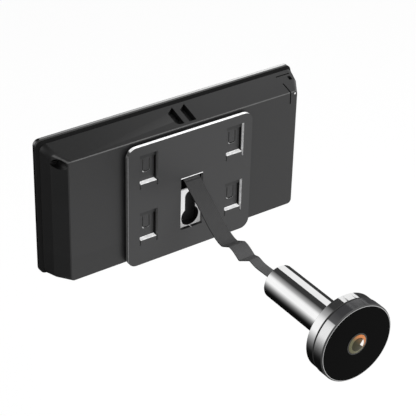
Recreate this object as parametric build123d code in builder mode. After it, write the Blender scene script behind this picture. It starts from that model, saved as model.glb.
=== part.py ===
from build123d import *
import os
from math import cos, radians, sin, sqrt, tan

os.makedirs("parts", exist_ok=True)

# Door viewer: monitor, bracket plate and outdoor camera, joined by a flat cable.
# Millimetres. Origin on the camera's axis, in the bracket's door face. +X is to the right as seen
# from outdoors, +Y goes into the room, +Z is up. A depth is a place along Y.

# Fits and cuts
slide_gap = 0.05  # beside a piece that slides or turns
seat_gap = 0.1  # round a piece that drops into its seat
thread_gap = 0.03  # between a screw and its hole, on the radius
overrun = 5.0  # how far a cut runs past the face that it opens

# Bracket plate
middle_x = -0.78  # middle of plate and monitor, from the camera's axis
plate_width = 65.3
plate_spare_height = 0.4  # plate's height over the casing's back face
plate_drop = 2.93  # plate's middle below the monitor's
plate_thickness = 1.6
plate_corner_radius = 4.5
window_width = 11.7
window_height = 26.4
window_rise = 5.44
window_corner_radius = 0.6

# Hooks lanced from the plate
hook_pitch_x = 45.3
hook_pitch_share = 0.4783  # upright pitch of the hooks, of the plate's height
hook_shift = 3.3  # middle of the four hooks above the plate's middle
hook_window_width = 9.4
hook_window_height = 15.7
hook_width = 8.1
hook_thickness = 1.2
hook_offset = 0.85  # plate's room face to the hook's front
hook_leg_rise = 1.4  # window's lower edge to the leg's top
hook_height = 15.4  # window's lower edge to the hook's tip
hook_heel_radius = 0.4  # where the leg leaves the plate
hook_bend_radius = 0.5  # where the leg turns up into the hook
relief_depth = 1.0
tongue_width = 3.4
tongue_length = 6.0
tongue_slot_width = 0.5
tongue_drop = 3.5  # hook's tip to the upper ends of the slot
tongue_bend_radius = 0.7

# Monitor outside
frame_width = 133.5
frame_height = 66.3
frame_corner_radius = 2.8
frame_thickness = 2.8
frame_slant_depth = 1.6  # the frame's rear edge slants inwards over this depth
frame_slant_inset = 1.0
monitor_rise_share = 0.21976  # monitor's middle above the camera's axis, of the frame's height
seam_step = 0.8  # casing's outline inside the frame's
seam_gap = 0.3
seam_depth = 15.8  # end of the casing's slopes
rim_thickness = 1.8
rim_wall = 1.8
rim_inner_radius = 1.5
rim_edge_radius = 0.7
glass_thickness = 1.1

# Rear casing
casing_depth = 2.95  # its back face
back_inset_side = 7.1  # frame's outline to the back face's
back_inset_top = 4.78
back_inset_foot = 1.92
back_corner_radius = 2.0
seam_corner_radius = 3.0
side_bend_depth = 10.0  # the side slopes are bent here
side_bend_out = 1.1  # how far the bend stands out of a flat slope
casing_wall = 1.6
ridge_chamfer = 0.3  # broken edge round the back face
rebate_wall = 0.8  # thin inner edge that meets the frame

# Pockets for the hooks
pocket_side_gap = 0.3
pocket_border = 2.4
pocket_wall = 1.2
pocket_spare_depth = 1.35
lip_lap = 2.35  # lip's lower edge below the hook's tip
lift_travel = 3.0
lift_spare = 0.5

# Cable bay and keyhole plate
bay_width = 17.5
bay_height = 13.9
bay_foot = 10.74
bay_floor_depth = 9.5
bay_wall = 1.2
keyhole_plate_width = 21.0
keyhole_plate_inset = 2.66  # back face's lower edge to the plate's
keyhole_plate_thickness = 0.8
keyhole_x = 1.4
keyhole_rise = -4.2
keyhole_radius = 4.9
keyhole_neck_width = 6.0
keyhole_neck_height = 13.4
keyhole_neck_radius = 2.9
keyhole_pocket_width = 12.0
keyhole_pocket_foot = -10.1
keyhole_pocket_head = 9.6
keyhole_pocket_depth = 8.5
keyhole_screw_pitch_x = 16.8
keyhole_screw_pitch_z = 15.5
keyhole_screw_rise = -1.25
keyhole_screw_radius = 0.8
keyhole_screw_head_radius = 1.5
keyhole_screw_length = 4.0
keyhole_boss_radius = 2.0

# Case screws: two in corner wells, two behind the bracket
corner_screw_inset_x = 4.68  # frame's outline to the screws in opposite corners
corner_screw_inset_z = 6.72
inner_screw_offset_x = (-4.85, -11.25)  # outwards of the left hooks, inwards of the right hooks
inner_screw_inset_z = (3.26, 6.34)  # from the back face's lower and upper edges
well_radius = 2.25
well_post_radius = 3.5
inner_post_radius = 3.0
corner_shoulder_depth = 12.4
inner_shoulder_depth = 6.0
case_screw_radius = 1.1
case_screw_head_radius = 2.05
case_screw_head_height = 1.6
case_screw_bite = 2.1
screw_slot_width = 0.5

# Strap slots on the top slope, and the strap corner
strap_slot_spans = [(-5.28, -1.45), (1.2, 4.85)]
strap_slot_foot = 1.7
strap_slot_head = 12.1
strap_slot_slant = 0.72
strap_slot_corner_radius = 2.4
strap_slot_depth = 3.0
strap_bar_thickness = 1.5
strap_tunnel_span = (2.6, 7.8)
strap_wall = 1.2
corner_groove_width = 0.6
corner_groove_depth = 0.8
corner_groove_inset = 3.77  # back face's right edge to the upright groove
corner_groove_drop = 5.8  # back face's upper edge to the groove's foot
corner_groove_run = 6.3
corner_groove_height = 11.0
corner_groove_reach = (-4.57, 2.93)  # level groove, from the back face's right edge
corner_hole_reach = (0.7, 2.3)
corner_hole_span = (7.1, 9.5)
corner_hole_depth = 2.5
corner_block_width = 5.97
corner_block_height = 6.94
strap_pin_inset_x = 1.17  # back face's edges to the pin
strap_pin_inset_z = 1.24
strap_pin_radius = 0.5
strap_pin_length = 7.4
strap_pin_setback = 0.15
strap_pin_ring = 0.25
strap_pin_ring_depth = 1.2

# Port cover, its hinge and the bay behind it
cover_foot = -0.36
cover_length = 30.0
cover_thickness = 1.8
cover_edge_depth = 4.6
hinge_depth = 13.0
hinge_radius = 1.1
hinge_sink = 0.05  # hinge barrel below the casing's surface
hinge_pin_radius = 0.5
hinge_pin_length = 1.0
cover_gap = 0.15
nail_groove_inset = 1.3
nail_groove_width = 0.8
nail_groove_length = 10.0
nail_groove_depth = 0.5
port_floor_inset = 5.27  # back face's right edge to the bay's floor
port_floor_wall = 1.2
port_bay_depth_span = (5.7, 12.6)
port_bay_ledge = 1.2
port_block_border = 2.0

# Main board and what sits on it
board_inset_left = 7.03  # frame's outline to the board's edges
board_inset_right = 13.97
board_height = 41.5
board_foot_share = 0.3863  # room below the board, of what the frame is higher than it
board_depth = 12.2
board_thickness = 1.2
board_corner_radius = 1.5
board_screw_inset = 3.0
board_screw_radius = 0.9
board_screw_length = 5.0
board_screw_head_radius = 1.7
board_screw_head_height = 1.1
board_post_radius = 2.4
socket_width = 11.0
socket_height = 4.0
socket_rise = 21.6
socket_depth = 8.6
socket_gap = 0.2
socket_chamfer = 0.3
usb_width = 7.6
usb_thickness = 2.6
usb_length = 8.0
usb_rise = 20.0
usb_wall = 0.35
usb_back_wall = 1.0
usb_tongue_thickness = 0.6
usb_tongue_width = 4.4
usb_tongue_setback = 1.5
card_socket_width = 14.0
card_socket_length = 15.0
card_socket_thickness = 1.9
card_socket_rise = 6.5
card_width = 11.0
card_length = 15.0
card_thickness = 1.0
card_stand = 0.6
port_reach = 1.0  # how far the ports reach into their holes
port_hole_gap = 0.15
chip_thickness = 1.1
chip_shares = [(0.502, 0.253, 12.0), (0.7156, 0.506, 10.0), (0.8756, 0.8434, 6.0)]  # (across, up, width)
battery_inset_left = 10.5  # board's edges to the battery's
battery_inset_foot = 3.0
battery_inset_top = 2.5
battery_bay_gap = 2.05
battery_thickness = 5.0
battery_corner_radius = 1.0
battery_rib_insets = [4.0, 16.0]
rib_width = 1.2
speaker_inset = 4.93  # back face's left edge to the speaker's
speaker_post_gap = 3.0
speaker_height = 4.4
speaker_depth = 6.95
speaker_edge_radius = 0.8
speaker_slot_count = 6
speaker_pitch_share = 0.118  # of the speaker's width
speaker_slot_share = 0.46  # of the pitch
speaker_slot_length = 5.5

# Screen and view key
display_shift = 5.6
display_border_side = 14.0  # half of what the frame is wider than the display
display_border_top = 3.9
display_gap = 0.3
tray_border = 3.6
tray_border_top = 3.15
tray_corner_radius = 1.0
tray_thickness = 0.8
tray_bush_radius = 2.3
tray_bush_height = 1.8
display_screw_inset = 2.4  # port block to the screws above and below it
display_screw_radius = 0.7
display_screw_head_radius = 1.4
display_screw_head_height = 0.9
display_screw_length = 2.6
key_inset = 11.45  # frame's left edge to the key
key_radius = 6.3
key_proud = 0.6
key_flange_radius = 6.85
key_gap = 0.15
key_edge_radius = 0.5
key_flange_thickness = 0.7
key_stem_radius = 2.0
key_travel = 0.6
switch_width = 6.0
switch_height = 1.0
switch_cap_radius = 1.6
switch_cap_height = 0.4

# Camera
barrel_radius = 7.78
barrel_wall = 1.18
barrel_neck_step = 0.48  # the tube's neck goes through the housing's floor
barrel_seat_depth = 0.3  # recess in the back of the head for the tube's shoulder
barrel_end_depth = -64.2
barrel_edge_chamfer = 0.3
head_depth = -104.9  # back face of the head, against the door's outer face
housing_radius = 17.4
housing_thickness = 4.6
housing_floor = 1.6
housing_wall = 1.5
housing_edge_chamfer = 0.35
barrel_flange_lip = 1.62  # neck's end, spread inside the housing, beyond the tube
barrel_flange_thickness = 1.0
head_seam = 0.2
bezel_step = 0.3  # bezel's outline beyond the housing's
bezel_thickness = 5.7
bezel_wall = 2.7
bezel_spigot_length = 1.5
bezel_edge_chamfer = 0.55
bezel_lip = 0.8  # bezel's outline to the glass
camera_glass_thickness = 1.2
camera_glass_hole_radius = 5.0
lens_ring_radius = 4.95
lens_ring_proud = 0.2
lens_ring_thickness = 1.6
lens_thread_radius = 3.9
lens_thread_length = 1.7
lens_bore_radius = 3.2
front_lens_radius = 4.5
front_lens_edge = 0.45
front_lens_sag = 0.9
rear_lens_radius = 3.1
rear_lens_thickness = 1.0
holder_width = 11.0
holder_height = 3.1
holder_room_width = 8.2
holder_room_height = 1.2
image_sensor_width = 7.0
image_sensor_thickness = 0.9
sensor_board_thickness = 1.0
sensor_board_setback = 0.2
lug_inset = 1.5  # sensor board's edge to the lugs' middles
lug_radius = 1.9
lug_count = 3
lug_start = 90  # degrees
led_start = 30
sensor_screw_radius = 0.75
sensor_screw_head_radius = 1.3
sensor_screw_head_height = 0.9
sensor_screw_length = 2.8
led_radius = 1.5
led_height = 2.6
connector_width = 7.4
connector_height = 3.0
connector_thickness = 2.0

# Flat cable: places are (depth, rise) of its middle line
ribbon_width = 8.6
ribbon_narrow_width = 5.4
ribbon_thickness = 0.5
ribbon_narrowing_span = (-41.82, -47.0)
arc_share = 0.45
inner_ribbon_route = [(8.6, 21.6), (6.6, 21.6), (3.0, 19.04), (0, 16.95)]
outer_ribbon_route = [
    (0, 16.95), (-5.6, 13.05), (-12.65, 8.37), (-18.97, 3.44), (-23.91, 0.66), (-27.0, -0.51),
    (-29.26, -0.64), (-34.5, 1.9), (-37.44, 1.31), (-41.82, -0.95), (-47.0, 1.4), (-51.53, 0.32),
    (-58.8, 0.7), (-66.0, 0.7),
]

# Depths and places that follow from the sizes above
monitor_rise = monitor_rise_share * frame_height
frame_left = middle_x - frame_width / 2
frame_right = middle_x + frame_width / 2
frame_foot = monitor_rise - frame_height / 2
frame_top = monitor_rise + frame_height / 2
back_left = frame_left + back_inset_side
back_right = frame_right - back_inset_side
back_foot = frame_foot + back_inset_foot
back_top = frame_top - back_inset_top
plate_rise = monitor_rise - plate_drop
plate_height = back_top - back_foot + plate_spare_height
hook_front = plate_thickness + hook_offset
hook_back = hook_front + hook_thickness
hook_places_x = [-hook_pitch_x / 2, hook_pitch_x / 2]
hook_feet = [
    plate_rise + hook_shift + side * hook_pitch_share * plate_height / 2 - hook_window_height / 2
    for side in (-1, 1)
]
casing_floor = casing_depth + casing_wall
pocket_floor = hook_back + pocket_spare_depth
pocket_back = pocket_floor + pocket_wall
frame_back = seam_depth + seam_gap
frame_front = frame_back + frame_thickness
rim_front = frame_front + rim_thickness
glass_front = frame_front + glass_thickness
board_front = board_depth + board_thickness
tray_back = frame_back - tray_thickness
bush_end = tray_back - tray_bush_height
board_span_x = (frame_left + board_inset_left, frame_right - board_inset_right)
board_foot = frame_foot + board_foot_share * (frame_height - board_height)
board_span_z = (board_foot, board_foot + board_height)
display_x = middle_x + display_shift
display_width = frame_width - 2 * display_border_side
display_height = frame_height - 2 * display_border_top
display_hole_width = display_width + 2 * display_gap
display_hole_height = display_height + 2 * display_gap
tray_width = display_hole_width + 2 * tray_border
tray_height = frame_height - 2 * tray_border_top
cover_span = (cover_foot, cover_foot + cover_length)
port_block_span = (cover_span[0] - port_block_border, cover_span[1] + port_block_border)
display_screw_x = (display_hole_width + tray_border) / 2
display_screw_rises = (port_block_span[0] - display_screw_inset, port_block_span[1] + display_screw_inset)
display_screw_places = [
    (display_x + side * display_screw_x, rise) for side in (-1, 1) for rise in display_screw_rises
]
corner_screw_places = [
    (frame_left + corner_screw_inset_x, frame_top - corner_screw_inset_z),
    (frame_right - corner_screw_inset_x, frame_foot + corner_screw_inset_z),
]
inner_screw_places = [
    (hook_places_x[1] + inner_screw_offset_x[1], back_top - inner_screw_inset_z[1]),
    (hook_places_x[0] + inner_screw_offset_x[0], back_foot + inner_screw_inset_z[0]),
]
board_screw_places = [
    (x, z)
    for x in (board_span_x[0] + board_screw_inset, board_span_x[1] - board_screw_inset)
    for z in (board_span_z[0] + board_screw_inset, board_span_z[1] - board_screw_inset)
]
keyhole_screw_places = [
    (keyhole_x + side * keyhole_screw_pitch_x / 2, keyhole_screw_rise + step * keyhole_screw_pitch_z / 2)
    for side in (-1, 1) for step in (-1, 1)
]
battery_span_x = (board_span_x[0] + battery_inset_left, -bay_width / 2 - bay_wall - battery_bay_gap)
battery_span_z = (board_span_z[0] + battery_inset_foot, board_span_z[1] - battery_inset_top)
speaker_span_x = (
    back_left + speaker_inset, inner_screw_places[1][0] - inner_post_radius - speaker_post_gap
)
speaker_foot = back_foot + casing_wall + seat_gap
speaker_depth_span = (casing_floor, casing_floor + speaker_depth)
key_place = (frame_left + key_inset, monitor_rise)
port_floor_x = back_right - port_floor_inset
strap_pin_place = (back_right - strap_pin_inset_x, back_top - strap_pin_inset_z)
strap_pin_depth = casing_depth + strap_pin_setback
barrel_bore_radius = barrel_radius - barrel_wall
barrel_neck_radius = barrel_radius - barrel_neck_step
bezel_radius = housing_radius + bezel_step
bezel_bore_radius = bezel_radius - bezel_wall
camera_glass_radius = bezel_radius - bezel_lip
sensor_board_radius = bezel_bore_radius - seat_gap
housing_front = head_depth - housing_thickness
housing_inside = head_depth - housing_floor
barrel_shoulder = head_depth - barrel_seat_depth
bezel_back = housing_front - head_seam
bezel_front = bezel_back - bezel_thickness
camera_glass_back = bezel_front + camera_glass_thickness
sensor_board_back = bezel_back - sensor_board_setback
sensor_board_front = sensor_board_back - sensor_board_thickness


# Helpers
def door_plane(depth):
    """Upright plane at this depth, seen from outdoors, with its normal towards the door."""
    return Plane(origin=(0, depth, 0), x_dir=(1, 0, 0), z_dir=(0, -1, 0))


def side_plane(x):
    """Upright plane across the door at this x, with depth to its right and its normal along +X."""
    return Plane(origin=(x, 0, 0), x_dir=(0, 1, 0), z_dir=(1, 0, 0))


def block(x_span, depth_span, z_span, mode=Mode.ADD):
    """Box between the given places, in the piece being made."""
    spans = [sorted(span) for span in (x_span, depth_span, z_span)]
    with Locations(tuple((low + high) / 2 for low, high in spans)):
        Box(*[high - low for low, high in spans], mode=mode)


def rods(places, radius, depth_span, mode=Mode.ADD):
    """Round bars along the depth at these (x, z) places, in the piece being made."""
    near, far = sorted(depth_span)
    with BuildSketch(door_plane(far)) as ends:
        with Locations(*places):
            Circle(radius)
    extrude(ends.sketch, amount=far - near, mode=mode)


def panel(place, width, height, depth_span, radius, mode=Mode.ADD):
    """Plate parallel to the door with rounded corners, in the piece being made."""
    near, far = sorted(depth_span)
    with BuildSketch(door_plane(far)) as outline:
        with Locations(place):
            RectangleRounded(width, height, radius)
    extrude(outline.sketch, amount=far - near, mode=mode)


def middle(span):
    """Middle of a span."""
    return (span[0] + span[1]) / 2


def length(span):
    """Length of a span."""
    return abs(span[1] - span[0])


def about(place, size):
    """Span of this size about a place."""
    return (place - size / 2, place + size / 2)


# The casing's slopes: its outline grows from the back face to the seam, and its sides are bent
def casing_outline(depth, inset):
    """Width, height, middle rise and corner radius of the casing's outline at a depth."""
    share = (depth - casing_depth) / (seam_depth - casing_depth)
    if depth < side_bend_depth:
        bend = side_bend_out * (depth - casing_depth) / (side_bend_depth - casing_depth)
    else:
        bend = side_bend_out * (seam_depth - depth) / (seam_depth - side_bend_depth)
    width = back_right - back_left + 2 * share * (back_inset_side - seam_step) + 2 * bend
    top = back_top + share * (back_inset_top - seam_step)
    foot = back_foot - share * (back_inset_foot - seam_step)
    radius = back_corner_radius + share * (seam_corner_radius - back_corner_radius)
    return width - 2 * inset, top - foot - 2 * inset, (top + foot) / 2, radius - inset


def casing_loft(sections):
    """Solid through the casing's outline at each (depth, inset)."""
    ends = []
    for depth, inset in sections:
        width, height, rise, radius = casing_outline(depth, inset)
        with BuildSketch(door_plane(depth)) as outline:
            with Locations((middle_x, rise)):
                RectangleRounded(width, height, radius)
        ends.append(outline.sketch.face())
    loft(ends, ruled=True)


def side_x(depth):
    """Where the casing's right-hand side lies at a depth."""
    return middle_x + casing_outline(depth, 0)[0] / 2


def side_layer(depth_span, inner, outer, z_span, mode=Mode.ADD):
    """Layer along the casing's right-hand side, from inner below its surface to outer above it."""
    depths = [depth_span[0], side_bend_depth, depth_span[1]]
    with BuildSketch(Plane.XY.offset(z_span[0])) as outline:
        with BuildLine():
            Polyline(
                *[(side_x(depth) + outer, depth) for depth in depths],
                *[(side_x(depth) - inner, depth) for depth in reversed(depths)],
                close=True,
            )
        make_face()
    extrude(outline.sketch, amount=length(z_span), mode=mode)


seam_outline = casing_outline(seam_depth, 0)
top_slope = Plane(
    origin=(0, casing_depth, back_top),
    x_dir=(1, 0, 0),
    z_dir=(0, seam_step - back_inset_top, seam_depth - casing_depth),
)


# Bracket plate with its four hooks
def lance_hook(x, foot):
    """Window in the plate, and the hook bent out of it, with the tongue cut in the hook."""
    relief_width = (hook_window_width - hook_width) / 2
    with BuildSketch(door_plane(plate_thickness)) as window:
        with Locations((x, foot + hook_window_height / 2)):
            Rectangle(hook_window_width, hook_window_height)
        for side in (-1, 1):
            with Locations((x + side * (hook_window_width - relief_width) / 2, foot - relief_depth / 2)):
                Rectangle(relief_width, relief_depth)
    extrude(window.sketch, amount=plate_thickness, mode=Mode.SUBTRACT)

    root = foot - relief_depth
    leg_top = foot + hook_leg_rise
    tip = foot + hook_height
    heel_rise = leg_top - hook_heel_radius
    bend_rise = leg_top + hook_bend_radius
    bend_depth = hook_front - hook_bend_radius
    with BuildSketch(side_plane(x - hook_width / 2)) as profile:
        with BuildLine():
            Line((0, root), (0, heel_rise))
            CenterArc((hook_heel_radius, heel_rise), hook_heel_radius, 180, -90)
            Line((hook_heel_radius, leg_top), (bend_depth, leg_top))
            CenterArc((bend_depth, bend_rise), hook_bend_radius, 270, 90)
            Polyline((hook_front, bend_rise), (hook_front, tip), (hook_back, tip), (hook_back, bend_rise))
            CenterArc((bend_depth, bend_rise), hook_bend_radius + hook_thickness, 0, -90)
            Polyline(
                (bend_depth, leg_top - hook_thickness),
                (hook_thickness, leg_top - hook_thickness),
                (hook_thickness, root),
                (0, root),
            )
        make_face()
    extrude(profile.sketch, amount=hook_width)

    slot_head = tip - tongue_drop
    slot_foot = slot_head - tongue_length
    with BuildSketch(door_plane(hook_back + seat_gap)) as slot:
        with BuildLine():
            FilletPolyline(
                (x - tongue_width / 2, slot_head),
                (x - tongue_width / 2, slot_foot),
                (x + tongue_width / 2, slot_foot),
                (x + tongue_width / 2, slot_head),
                radius=tongue_bend_radius,
            )
        trace(line_width=tongue_slot_width)
    extrude(slot.sketch, amount=hook_thickness + 2 * seat_gap, mode=Mode.SUBTRACT)


with BuildPart() as bracket_plate:
    panel((middle_x, plate_rise), plate_width, plate_height, (0, plate_thickness), plate_corner_radius)
    panel(
        (0, window_rise),
        window_width,
        window_height,
        (0, plate_thickness),
        window_corner_radius,
        mode=Mode.SUBTRACT,
    )
    for hook_x in hook_places_x:
        for hook_foot in hook_feet:
            lance_hook(hook_x, hook_foot)
bracket_plate.part.label = "bracket_plate"
export_step(bracket_plate.part, "parts/bracket_plate.step")


# Room inside the casing: what isn't room is a wall, post, rib or boss
pocket_width = hook_width + 2 * pocket_side_gap
pocket_spans = []
for hook_foot in hook_feet:
    hook_tip = hook_foot + hook_height
    pocket_foot = hook_foot + hook_leg_rise - hook_thickness - lift_travel - lift_spare
    pocket_spans.append((pocket_foot, hook_tip - lip_lap, hook_tip + seat_gap))
keyhole_seat = casing_depth + keyhole_plate_thickness
keyhole_boss_end = keyhole_seat + keyhole_screw_length
block_end = tray_back - seat_gap
corner_block_end = block_end - display_screw_head_height
far_x = frame_width
far_z = frame_width

with BuildPart() as casing_room:
    casing_loft([(depth, casing_wall) for depth in (casing_floor, side_bend_depth, frame_back + overrun)])
    block(
        about(0, bay_width + 2 * bay_wall),
        (0, bay_floor_depth + bay_wall),
        (bay_foot - bay_wall, bay_foot + bay_height + bay_wall),
        mode=Mode.SUBTRACT,
    )
    block(
        about(keyhole_x, keyhole_pocket_width + 2 * bay_wall),
        (0, keyhole_pocket_depth + bay_wall),
        (keyhole_pocket_foot - bay_wall, keyhole_pocket_head + bay_wall),
        mode=Mode.SUBTRACT,
    )
    rods(keyhole_screw_places, keyhole_boss_radius, (0, keyhole_boss_end), mode=Mode.SUBTRACT)
    for hook_x in hook_places_x:
        for pocket_foot, lip_foot, pocket_head in pocket_spans:
            block(
                about(hook_x, pocket_width + 2 * pocket_wall),
                (0, pocket_back),
                (pocket_foot - pocket_wall, pocket_head + pocket_wall),
                mode=Mode.SUBTRACT,
            )
    for rib_inset in battery_rib_insets:
        rib_x = battery_span_x[0] + rib_inset
        block(about(rib_x, rib_width), (0, pocket_back), battery_span_z, mode=Mode.SUBTRACT)
    for rib_x in (speaker_span_x[0] + rib_width / 2, speaker_span_x[1] - rib_width / 2):
        block(
            about(rib_x, rib_width),
            (0, speaker_depth_span[1]),
            (-far_z, speaker_foot),
            mode=Mode.SUBTRACT,
        )
    rods(inner_screw_places, inner_post_radius, (0, bush_end), mode=Mode.SUBTRACT)
    rods(corner_screw_places, well_post_radius, (0, frame_back + overrun), mode=Mode.SUBTRACT)
    rods(board_screw_places, board_post_radius, (0, board_depth), mode=Mode.SUBTRACT)
    block(
        (strap_slot_spans[0][0] - strap_wall, strap_slot_spans[1][1] + strap_wall),
        (0, block_end),
        (back_top - strap_slot_depth - strap_wall, far_z),
        mode=Mode.SUBTRACT,
    )
    block(
        (back_right - corner_block_width, far_x),
        (0, corner_block_end),
        (back_top - corner_block_height, far_z),
        mode=Mode.SUBTRACT,
    )
    block(
        (port_floor_x - port_floor_wall, far_x),
        (0, block_end),
        port_block_span,
        mode=Mode.SUBTRACT,
    )


# Rear casing
def cut_hook_pocket(x, foot, lip_foot, head):
    """Pocket behind the back face for one hook, with the lip that hangs in front of it."""
    block(about(x, pocket_width), (0, pocket_floor), (foot, lip_foot), mode=Mode.SUBTRACT)
    block(about(x, pocket_width), (hook_front - slide_gap, pocket_floor), (foot, head), mode=Mode.SUBTRACT)


def cut_strap_slot(span, corner_radius):
    """Slot in the top slope, from near the ridge to its slanted head."""
    left, right = span
    left_head = strap_slot_head - strap_slot_slant * (right - left)
    with BuildSketch(top_slope) as outline:
        with BuildLine():
            Polyline(
                (left, strap_slot_foot), (right, strap_slot_foot),
                (right, strap_slot_head), (left, left_head),
                close=True,
            )
        make_face()
        if corner_radius > 0:
            fillet(outline.vertices().group_by(Axis.X)[0].sort_by(Axis.Y)[0], corner_radius)
    extrude(outline.sketch, amount=-strap_slot_depth, mode=Mode.SUBTRACT)


def slope_cut(plane, x_span, run_span, depth):
    """Rectangular cut into a slope from its surface, between places on the slope."""
    with BuildSketch(plane) as outline:
        with Locations((middle(x_span), middle(run_span))):
            Rectangle(length(x_span), length(run_span))
    extrude(outline.sketch, amount=-depth, mode=Mode.SUBTRACT)


def upright_rod(place, radius, z_span, mode=Mode.ADD):
    """Round bar along Z at this (x, depth) place, in the piece being made."""
    with BuildSketch(Plane.XY.offset(min(z_span))) as foot:
        with Locations(place):
            Circle(radius)
    extrude(foot.sketch, amount=length(z_span), mode=mode)


def countersinks(places, gap, mode=Mode.ADD):
    """Cones of the keyhole plate's screw heads, in the piece being made."""
    for x, z in places:
        with Locations((x, casing_depth + keyhole_plate_thickness / 2, z)):
            Cone(
                bottom_radius=keyhole_screw_radius + gap,
                top_radius=keyhole_screw_head_radius + gap,
                height=keyhole_plate_thickness,
                rotation=(90, 0, 0),
                mode=mode,
            )


hinge_place = (side_x(hinge_depth) - hinge_radius - hinge_sink, hinge_depth)
cover_seat_span = (cover_span[0] - cover_gap, cover_span[1] + cover_gap)
strap_reach = (strap_slot_spans[0][1], strap_slot_spans[1][0])


def cut_port_bay():
    """Seat of the port cover with its hinge, and the bay behind it with the holes for the ports."""
    side_layer(
        (cover_edge_depth - cover_gap, hinge_depth + hinge_radius + cover_gap),
        cover_thickness + cover_gap,
        overrun,
        cover_seat_span,
        mode=Mode.SUBTRACT,
    )
    upright_rod(hinge_place, hinge_radius + cover_gap, cover_seat_span, mode=Mode.SUBTRACT)
    upright_rod(
        hinge_place,
        hinge_pin_radius + slide_gap,
        (cover_seat_span[0] - hinge_pin_length, cover_seat_span[1] + hinge_pin_length),
        mode=Mode.SUBTRACT,
    )
    block(
        (port_floor_x, far_x),
        port_bay_depth_span,
        (cover_span[0] + port_bay_ledge, cover_span[1] - port_bay_ledge),
        mode=Mode.SUBTRACT,
    )
    ports = (
        (usb_rise, usb_width, usb_thickness),
        (card_socket_rise, card_socket_width, card_socket_thickness),
    )
    for rise, width, thickness in ports:
        block(
            (port_floor_x - port_floor_wall - slide_gap, port_floor_x + slide_gap),
            about(board_depth - thickness / 2, thickness + 2 * port_hole_gap),
            about(rise, width + 2 * port_hole_gap),
            mode=Mode.SUBTRACT,
        )


with BuildPart() as rear_casing:
    casing_loft([
        (casing_depth, ridge_chamfer),
        (casing_depth + ridge_chamfer, 0),
        (side_bend_depth, 0),
        (seam_depth, 0),
    ])
    panel(
        (middle_x, monitor_rise),
        seam_outline[0] - 2 * rebate_wall,
        seam_outline[1] - 2 * rebate_wall,
        (seam_depth - rebate_wall, frame_back),
        seam_outline[3] - rebate_wall,
    )
    add(casing_room.part, mode=Mode.SUBTRACT)
    for hook_x in hook_places_x:
        for pocket_foot, lip_foot, pocket_head in pocket_spans:
            block(
                about(hook_x, pocket_width + 2 * pocket_border),
                (plate_thickness + slide_gap, casing_floor),
                (pocket_foot - pocket_border, pocket_head + pocket_border),
            )
    for hook_x in hook_places_x:
        for pocket_foot, lip_foot, pocket_head in pocket_spans:
            cut_hook_pocket(hook_x, pocket_foot, lip_foot, pocket_head)
    block(about(0, bay_width), (0, bay_floor_depth), (bay_foot, bay_foot + bay_height), mode=Mode.SUBTRACT)
    block(
        about(0, socket_width + 2 * socket_gap),
        (0, board_depth),
        about(socket_rise, socket_height + 2 * socket_gap),
        mode=Mode.SUBTRACT,
    )
    block(
        about(keyhole_x, keyhole_plate_width + 2 * seat_gap),
        (0, keyhole_seat),
        (back_foot + keyhole_plate_inset - seat_gap, bay_foot),
        mode=Mode.SUBTRACT,
    )
    block(
        about(keyhole_x, keyhole_pocket_width),
        (0, keyhole_pocket_depth),
        (keyhole_pocket_foot, keyhole_pocket_head),
        mode=Mode.SUBTRACT,
    )
    rods(
        keyhole_screw_places,
        keyhole_screw_radius + thread_gap,
        (0, keyhole_boss_end - pocket_wall / 2),
        mode=Mode.SUBTRACT,
    )
    rods(corner_screw_places, well_radius, (0, corner_shoulder_depth), mode=Mode.SUBTRACT)
    rods(inner_screw_places, well_radius, (0, inner_shoulder_depth), mode=Mode.SUBTRACT)
    rods(
        corner_screw_places + inner_screw_places,
        case_screw_radius + seat_gap,
        (0, frame_back + overrun),
        mode=Mode.SUBTRACT,
    )
    rods(
        board_screw_places,
        board_screw_radius + thread_gap,
        (board_depth - board_screw_length, board_depth),
        mode=Mode.SUBTRACT,
    )
    cut_strap_slot(strap_slot_spans[0], strap_slot_corner_radius)
    cut_strap_slot(strap_slot_spans[1], 0)
    slope_cut(
        top_slope.offset(-strap_bar_thickness),
        strap_reach,
        strap_tunnel_span,
        strap_slot_depth - strap_bar_thickness,
    )
    slope_cut(
        top_slope,
        [back_right + reach for reach in corner_groove_reach],
        about(corner_groove_height, corner_groove_width),
        corner_groove_depth,
    )
    slope_cut(
        top_slope,
        about(back_right - corner_groove_inset, corner_groove_width),
        (-overrun, corner_groove_run),
        corner_groove_depth,
    )
    slope_cut(
        top_slope, [back_right + reach for reach in corner_hole_reach], corner_hole_span, corner_hole_depth
    )
    block(
        about(back_right - corner_groove_inset, corner_groove_width),
        (0, casing_depth + corner_groove_depth),
        (back_top - corner_groove_drop, far_z),
        mode=Mode.SUBTRACT,
    )
    rods(
        [strap_pin_place],
        strap_pin_radius + strap_pin_ring,
        (0, strap_pin_depth + strap_pin_ring_depth),
        mode=Mode.SUBTRACT,
    )
    rods(
        [strap_pin_place],
        strap_pin_radius + thread_gap,
        (0, strap_pin_depth + strap_pin_length),
        mode=Mode.SUBTRACT,
    )
    cut_port_bay()
    slot_pitch = speaker_pitch_share * length(speaker_span_x)
    with BuildSketch(Plane.XY.offset(speaker_foot)):
        with Locations((middle(speaker_span_x), middle(speaker_depth_span))):
            with GridLocations(slot_pitch, slot_pitch, speaker_slot_count, 1):
                SlotOverall(speaker_slot_length, speaker_slot_share * slot_pitch, rotation=90)
    extrude(amount=-overrun, mode=Mode.SUBTRACT)
rear_casing.part.label = "rear_casing"
export_step(rear_casing.part, "parts/rear_casing.step")


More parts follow.
